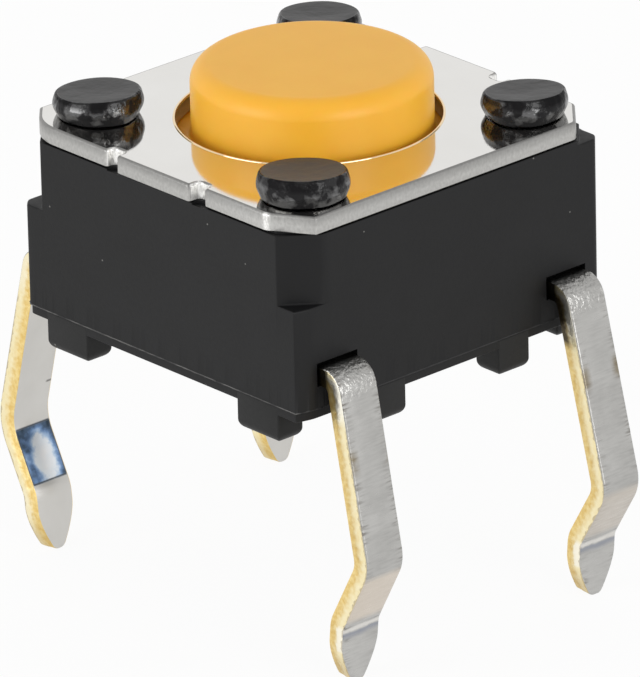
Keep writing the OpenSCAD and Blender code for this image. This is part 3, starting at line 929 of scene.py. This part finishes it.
def worn_silver_plating():
    """Silver of the outer faces, worn by tools."""
    material, tree, shader, place = start_material("worn_silver_plating")
    at = add(tree, "SeparateXYZ", {"Vector": place}).outputs
    side = add(tree, "Attribute", attribute_name="side").outputs["Fac"]
    out, middle = (add(tree, "Math", {0: value}, operation="ABSOLUTE") for value in (at["X"], side))
    base_colour, cloud, scratch = silver_base(tree, place, "#A4A3A0", "#C6C5C2")
    wavy = add(tree, "Math", {0: cloud, 1: 0.14, 2: at["Z"]}, operation="MULTIPLY_ADD")
    colour = marked(tree, base_colour, [
        # cross scratches, and the dark ticks that they leave along the edges
        ("#8B8A89", band(tree, scratch, (0.42, 0.66), (0.0, 0.22))),
        ("#6A655E", band(tree, middle, (0.55, 0.95)), band(tree, scratch, (0.50, 0.64)),
         band(tree, cloud, (0.42, 0.60), (0.15, 0.8))),
        # grime below the top bend
        ("#80735A", band(tree, at["Z"], (3.35, 3.50, 3.66, 3.82), (0.0, 0.75)),
         band(tree, middle, (0.55, 0.85)), band(tree, cloud, (0.42, 0.56))),
        # the lighter stretch between kink and low bend: partly rubbed towards the brass, less so at +Y,
        # and partly a painted reflection of the white floor below it; and the pale tip
        ("#D6CBBD", band(tree, at["Z"], (0.98, 1.10, 1.78, 1.90), (0.0, 0.85)),
         band(tree, at["Y"], (0, 1), (1.0, 0.6))),
        ("#C8C7C4", band(tree, at["Z"], (0.78, 0.62), (0.0, 0.3))),
        # painted highlight on the crease of the low bend, and painted shade under it
        ("#EFECE6", band(tree, wavy, (0.91, 0.95, 0.98, 1.03), (0.0, 0.6))),
        ("#858B9B", band(tree, wavy, (0.80, 0.88, 0.90, 0.93), (0.0, 0.6))),
        # painted shade in the mouth of the base
        ("#191613", band(tree, out, (HALF + 0.15, HALF + 0.03), (0.0, 0.93)),
         band(tree, at["Z"], (4.40, 4.50))),
    ])
    fine = add(tree, "Bump", {"Height": scratch, "Strength": 0.25, "Distance": 0.003 * MM})
    dents = add(tree, "TexNoise", {"Vector": place, "Scale": 15.0, "Detail": 3.0})
    hammered = overlap(tree, dents, band(tree, at["Z"], (4.42, 4.60), (0.06, 1.0)))
    bump = add(tree, "Bump", {"Height": hammered, "Normal": fine, "Strength": 0.9, "Distance": 0.032 * MM})
    plug(tree, shader, {"Base Color": colour, "Metallic": 1.0, "Normal": bump,
                        "Roughness": band(tree, scratch, (0.3, 0.7), (0.26, 0.42))})
    return material


def clean_silver_plating():
    """Silver of the inner faces. On one leg a small patch carries a painted reflection of the room."""
    material, tree, shader, place = start_material("clean_silver_plating")
    at = add(tree, "SeparateXYZ", {"Vector": place}).outputs
    side = add(tree, "Attribute", attribute_name="side").outputs["Fac"]
    middle = add(tree, "Math", {0: side}, operation="ABSOLUTE")
    base_colour, _, scratch = silver_base(tree, place, "#C5C3BE", "#D2D0CC")
    spot = add(tree, "CombineXYZ", {"X": band(tree, side, (-0.60, 0.85), (-1.0, 1.0)),
                                    "Y": band(tree, at["Z"], (0.93, 1.80), (-1.0, 1.0))})
    far = add(tree, "VectorMath", {0: spot}, operation="LENGTH")
    ripple = add(tree, "TexNoise", {"Vector": place, "Scale": 7.0, "Detail": 4.0})
    rippled = add(tree, "Math", {0: ripple, 1: 0.8, 2: far}, operation="MULTIPLY_ADD")
    painted_room_reflection = add(tree, "ValToRGB", {"Fac": band(tree, rippled, (0.4, 1.8))})
    stops = [(0.0, "#FFFFFF"), (0.46, "#F4FAFF"), (0.58, "#B4CDEA"), (0.71, "#7A98C2"), (0.85, "#53667E"),
             (1.0, "#36424E")]
    elements = painted_room_reflection.color_ramp.elements
    for number, (position, code) in enumerate(stops):
        stop = elements[number] if number < 2 else elements.new(position)
        stop.position, stop.color = position, linear(code)
    this_leg = overlap(tree, band(tree, at["X"], (0, -1)), band(tree, at["Y"], (0, -1)))
    reflection_patch = overlap(tree, band(tree, at["Z"], (1.05, 1.09, 1.82, 1.86)), this_leg,
                   band(tree, middle, (0.95, 0.88)))
    colour = marked(tree, base_colour, [
        # painted reflection of the room in a small patch, with a painted dark rim, and a nick at the edge above
        # it
        (painted_room_reflection, reflection_patch),
        ("#39434D", band(tree, reflection_patch, (0.0, 0.5, 0.6, 1.0), (0.0, 0.9))),
        ("#4A4744", band(tree, at["Z"], (2.47, 2.485, 2.505, 2.52), (0.0, 0.7)), band(tree, side, (0.62, 0.72)),
         this_leg)])
    fine = add(tree, "Bump", {"Height": scratch, "Strength": 0.2, "Distance": 0.003 * MM})
    plug(tree, shader, {"Base Color": colour, "Metallic": 1.0, "Roughness": 0.34, "Normal": fine})
    return material


worn_silver = worn_silver_plating()
clean_silver = clean_silver_plating()
print(worn_silver.name, clean_silver.name)

# %% Bare brass


def punched_brass():
    """Brass of the cut edges: burnished beside the outer face and torn beside the inner one."""
    material, tree, shader, place = start_material("punched_brass")
    at = add(tree, "SeparateXYZ", {"Vector": place}).outputs
    cloud = add(tree, "TexNoise", {"Vector": place, "Scale": 12.0, "Detail": 6.0})
    through = add(tree, "Attribute", attribute_name="through").outputs["Fac"]
    wander = add(tree, "Math", {0: cloud, 1: 0.8, 2: through}, operation="MULTIPLY_ADD")
    out = add(tree, "Math", {0: at["X"]}, operation="ABSOLUTE")
    torn = band(tree, wander, (0.75, -0.05))
    smooth = overlap(tree, band(tree, wander, (0.30, 0.50)), band(tree, at["X"], (-1, 1), (0.3, 1.0)))
    burnished = mark(tree, "#F1DFA6", "#FDF4D4", cloud)
    rough = mark(tree, "#E3C276", "#F4DC9A", band(tree, cloud, (0.35, 0.65)))
    colour = marked(tree, mark(tree, burnished, rough, torn), [
        # painted glints on the burnished band under the top bend and over the tip
        ("#FFFDF4", smooth, band(tree, at["Z"], (4.05, 4.35, 4.75, 4.85), (0.0, 0.8))),
        ("#FFFDF4", smooth, band(tree, at["Z"], (0.50, 0.55, 0.90, 0.98), (0.0, 0.65))),
        # the thin dark seam beside the plating, and the duller tip
        ("#7D6547", band(tree, wander, (1.12, 1.20)), band(tree, at["Z"], (4.2, 4.0), (0.0, 0.45))),
        ("#B79A55", band(tree, at["Z"], (0.50, 0.20), (0.0, 0.5))),
        # painted dark reflection of the black body in the torn band of the +Y legs, and painted shade beside the
        # wall
        ("#3A2F20", torn, band(tree, at["Y"], (0, 1)), band(tree, at["Z"], (3.96, 4.08), (0.0, 0.93))),
        ("#15110C", band(tree, out, (HALF + 0.12, HALF + 0.20), (0.95, 0.0)),
         band(tree, at["Z"], (4.45, 4.55))),
    ])
    bump = add(tree, "Bump", {"Height": cloud, "Strength": 0.6, "Distance": 0.015 * MM})
    plug(tree, shader, {"Base Color": colour, "Metallic": 1.0, "Normal": bump,
                        "Roughness": band(tree, torn, (0, 1), (0.34, 0.42))})
    return material


brass_edge = punched_brass()
print(brass_edge.name)

# %% [markdown]
# A leg is a flat ribbon that runs out of the base, turns down, splays out to a kink and comes back
# to a rounded point. The ribbon's cross-section is carried along the middle line, whose bends are
# arcs: small at the top, wide at the kink. Towards the tip the sides close in along a straight
# taper that ends in two small arcs. No two legs were bent quite alike.

# %% Terminals
STRIP_T, STRIP_W = 0.30, 0.70
STRIP_END = HALF - MOUTH_DEEP
TAPER_L, TIP_W, TIP_R, TAPER_POWER = 0.66, 0.20, 0.13, 1.6
TOP_BEND_R, LOW_BEND_R = 0.22, 0.45
# outer faces at the top bend, kink, low bend and tip, heights of kink and low bend, radius of the kink
LEGS = {
    (1, -1): ((3.42, 3.96, 3.40, 3.30), 1.98, 0.95, 0.45),
    (1, 1): ((3.42, 4.165, 3.62, 3.55), 1.85, 0.94, 0.45),
    (-1, -1): ((3.46, 4.17, 3.65, 3.56), 1.92, 0.88, 0.85),
    (-1, 1): ((3.42, 4.11, 3.66, 3.60), 1.92, 0.94, 0.45),
}
SECTION_R, BURR_R, SHEAR_STEP = 0.03, 0.012, 0.008


def leg_middle(outer, kink_z, low_z, kink_r, steps=14):
    """Middle line (x, z) of a leg from its outer faces at the top bend, the kink, the low bend and the tip."""
    top, kink, low, tip = np.array(outer) - STRIP_T / 2
    corners = np.array([[STRIP_END - 0.6, STRIP_Z + STRIP_T / 2], [top, STRIP_Z + STRIP_T / 2], [kink, kink_z],
                        [low, low_z], [tip, 0.0]])
    closed = np.concatenate([corners, [[0.0, 0.0]]])
    radii = [0, TOP_BEND_R, kink_r, LOW_BEND_R, 0, 0]
    arcs = rounded_outline(closed, radii, steps).reshape(6, steps, 2)
    share = np.sin(np.linspace(0, np.pi / 2, 34))[1:]
    bends = arcs[1:4].reshape(-1, 2)
    last = bends[-1] + share[:, None] * (corners[4] - bends[-1])
    return np.concatenate([corners[:1], bends, last])


def half_width(z):
    """Half the leg's width at a height: the full strip, then the curved taper, then the arc of the tip.

    The taper is W - (W - w) * (1 - z / L)^p, with W and w the halves of the strip and of the tip. The
    arc touches the bottom and the taper's first slope. With half the angle between them h, it meets
    the bottom at TIP_R / tan(h) from their corner.
    """
    full, tip = STRIP_W / 2, TIP_W / 2
    taper = full - (full - tip) * np.clip(1 - z / TAPER_L, 0, 1) ** TAPER_POWER
    lean = np.arctan2((full - tip) * TAPER_POWER, TAPER_L)
    reach = TIP_R / np.tan((np.pi / 2 + lean) / 2)
    arc = tip - reach + np.sqrt(TIP_R ** 2 - (TIP_R - np.clip(z, 0, TIP_R)) ** 2)
    return np.where(z < reach * np.cos(lean), np.minimum(arc, taper), taper)


def half_section():
    """Setting-in from the side, height over the middle and face codes, from the outer to the inner face."""
    rise, set_in = quarter(5)
    burr_rise, burr_in = quarter(3)
    setting = np.concatenate([SECTION_R * (1 - rise), [0.0, SHEAR_STEP], SHEAR_STEP + BURR_R * burr_in])
    over = np.concatenate([STRIP_T / 2 - SECTION_R * set_in, [-0.01, -0.025],
                           BURR_R * (1 - burr_rise) - STRIP_T / 2])
    return setting, over, [0, 0, 0, 1, 1, 1, 1, 1, 1]


def leg(sx, sy):
    """Points, faces, face codes and each point's two places in the section.

    The codes are 0 for worn silver, 1 for brass and 2 for clean silver.
    """
    path = leg_middle(*LEGS[(sx, sy)])
    along = unit(np.gradient(path, axis=0))
    out = np.stack([-along[:, 1], along[:, 0]], 1)
    half_w = half_width(np.clip(path[:, 1], 0, None))
    setting, over, codes = half_section()
    reach = half_w[:, None] - setting * np.minimum(half_w / 0.08, 1)[:, None]
    across = np.concatenate([-reach, reach[:, ::-1]], 1)
    over = np.concatenate([over, over[::-1]])
    through = np.broadcast_to(over / (STRIP_T / 2), across.shape)
    x = path[:, None, 0] + out[:, None, 0] * over
    height = np.maximum(path[:, None, 1] + out[:, None, 1] * over, 0.0)
    points = np.stack([sx * x, sy * STRIP_Y + across, height], -1)
    rows, columns = points.shape[:2]
    faces = grid_faces(rows, columns)
    ends = np.array([np.arange(columns), np.arange((rows - 1) * columns, rows * columns)[::-1]])
    if sx > 0:
        faces = faces[:, ::-1]
    else:
        ends = ends[:, ::-1]
    all_codes = np.tile(codes + [2] + codes[::-1] + [0], rows - 1)
    side = across / half_w[:, None]
    faces = faces.tolist() + ends.tolist()
    return points.reshape(-1, 3), faces, np.append(all_codes, [0, 0]), side.reshape(-1), through.reshape(-1)


def flat_strip(sy):
    """The terminal's flat part inside the base, with its contact or its two side pads."""
    h, w, y = STRIP_END, STRIP_W / 2, sy * STRIP_Y
    if sy > 0:
        arm = 0.3
        bar = [[-h, y + w], [-h, y - w], [-arm, y - w], [-arm, 0.52], [-0.6, 0.35], [-0.6, -0.35], [-0.35, -0.6],
               [0.35, -0.6], [0.6, -0.35], [0.6, 0.35], [arm, 0.52], [arm, y - w], [h, y - w], [h, y + w]]
    else:
        a, b = 1.4, 2.0
        bar = [[-h, y - w], [h, y - w], [h, y + w], [b, y + w], [b, 0.3], [a, 0.3], [a, y + w],
               [-a, y + w], [-a, 0.3], [-b, 0.3], [-b, y + w], [-h, y + w]]
    bar = np.array(bar, float)
    return sheet_part([rounded_outline(bar, [0.03] * len(bar), 5)], STRIP_Z, FLOOR_Z, 0.02, 0.02)


def terminal(name, node, sy):
    """Both legs and the flat part of one terminal in one piece."""
    flat_points, flat_faces, flat_codes = flat_strip(sy)
    nowhere = np.zeros(len(flat_points))
    flat = (flat_points, flat_faces, (flat_codes == 1) * 1, nowhere, nowhere)
    parts = [leg(1, sy), leg(-1, sy), flat]
    codes, side, through = (np.concatenate([p[k] for p in parts]) for k in (2, 3, 4))
    piece = new_piece(name, *gather(parts), [worn_silver, brass_edge, clean_silver], codes)
    point_values(piece, "side", side)
    point_values(piece, "through", through)
    sharpen(piece, 40)
    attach(piece, "switch_body")
    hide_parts(node)
    return piece


outer = terminal("outer_terminal_strip", "outer_terminal", -1)
centre = terminal("centre_terminal_strip", "centre_terminal", 1)
print("terminals", len(outer.data.polygons), len(centre.data.polygons), "faces")

# %% [markdown]
# The snap dome is a cap of spring steel, six hundredths of a millimetre thick, hidden under the
# button. It is drawn as a sheet between two equal spherical caps.

# %% Snap dome
DOME_T = 0.06
dome_low, dome_high = box_mm("contact_dome")


def dome_profile(count=40):
    """Profile of the sheet, out along its underside and back over its top.

    A cap of rise h over a radius a lies on a sphere of radius (a^2 + h^2) / (2 h).
    """
    reach, lift = dome_high[0], dome_high[2] - dome_low[2] - DOME_T
    sphere = (reach ** 2 + lift ** 2) / (2 * lift)
    r = reach * np.sin(np.linspace(0, np.pi / 2, count))
    under = dome_low[2] + lift - sphere + np.sqrt(sphere ** 2 - r ** 2)
    return np.concatenate([np.stack([r, under], 1), np.stack([r, under + DOME_T], 1)[::-1]])


points, faces = lathe(dome_profile())
dome = new_piece("snap_dome", points, faces, [bright_rolled_steel("plated_spring_steel", "#D6D4D0", "#E2E0DC")])
sharpen(dome, 40)
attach(dome, "switch_body")
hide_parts("contact_dome")
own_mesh(dome)
print("dome", len(dome.data.polygons), "faces")

# %% [markdown]
# The floor is a plain pale sheet at the height of the leg tips. Where the camera or a mirroring
# surface sees it, it is mixed towards white, as the photograph's ground is, and it still holds the
# soft shadow of the switch. The room's own light is a soft white tent, a little greyer overhead
# and dark where the camera stood, which gives the bright metal and the glossy plastic something to
# mirror. Two soft lamps, one before each seen face, add the broad lights on the button and heads.

# %% Floor
FLOOR_SIZE = 400.0
FLOOR_WHITE = 0.93


def pale_paper():
    material, tree, shader, _ = start_material("pale_paper")
    plug(tree, shader, {"Base Color": "#F2F2F0", "Roughness": 0.9})
    white = add(tree, "Emission", {"Color": "#FFFFFF", "Strength": 1.0})
    rays = add(tree, "LightPath").outputs
    mirrored = add(tree, "Math", {0: rays["Is Glossy Ray"], 1: rays["Is Transmission Ray"]}, operation="ADD")
    seen = add(tree, "Math", {0: rays["Is Camera Ray"], 1: mirrored}, operation="ADD")
    share = add(tree, "Math", {0: seen, 1: FLOOR_WHITE}, operation="MULTIPLY", use_clamp=True)
    mix = add(tree, "MixShader", {0: share, 1: shader, 2: white})
    plug(tree, tree.nodes["Material Output"], {"Surface": mix})
    return material


floor_corners = np.array([[-1, -1, 0], [1, -1, 0], [1, 1, 0], [-1, 1, 0]]) * FLOOR_SIZE / 2
floor = new_piece("floor", floor_corners, [[0, 1, 2, 3]], [pale_paper()])
print("floor", FLOOR_SIZE, "mm")

# %% Room light
world = bpy.data.worlds.new("studio")
bpy.context.scene.world = world
world.use_nodes = True
sky = world.node_tree
sky.nodes.clear()
direction = add(sky, "TexCoord").outputs["Generated"]
upward = add(sky, "SeparateXYZ", {"Vector": direction}).outputs["Z"]
toward = add(sky, "VectorMath", {0: direction, 1: back}, operation="DOT_PRODUCT")
tent = overlap(sky, band(sky, upward, (0.45, 0.95), (0.95, 0.60)), band(sky, toward, (0.84, 0.98), (1.0, 0.35)))
soft = add(sky, "Background", {"Color": "#FFFFFF", "Strength": tent})
add(sky, "OutputWorld", {"Surface": soft})


def softbox(name, place, aim, size, power):
    """Square area lamp at a place in millimetres, turned to face another point."""
    lamp_data = bpy.data.lights.new(name, "AREA")
    lamp_data.size, lamp_data.energy = size * MM, power
    lamp = bpy.data.objects.new(name, lamp_data)
    bpy.context.scene.collection.objects.link(lamp)
    z = unit(np.array(place, float) - aim)
    x = unit(np.cross([0.0, 0.0, 1.0], z))
    lamp.matrix_world = standing(x, np.cross(z, x), z, np.array(place, float))


LAMP_AIM = (0, 0, 5)
softbox("softbox_left", (-15, -84, 28), LAMP_AIM, 50, 0.0237)
softbox("softbox_right", (84, -8, 28), LAMP_AIM, 44, 0.0230)
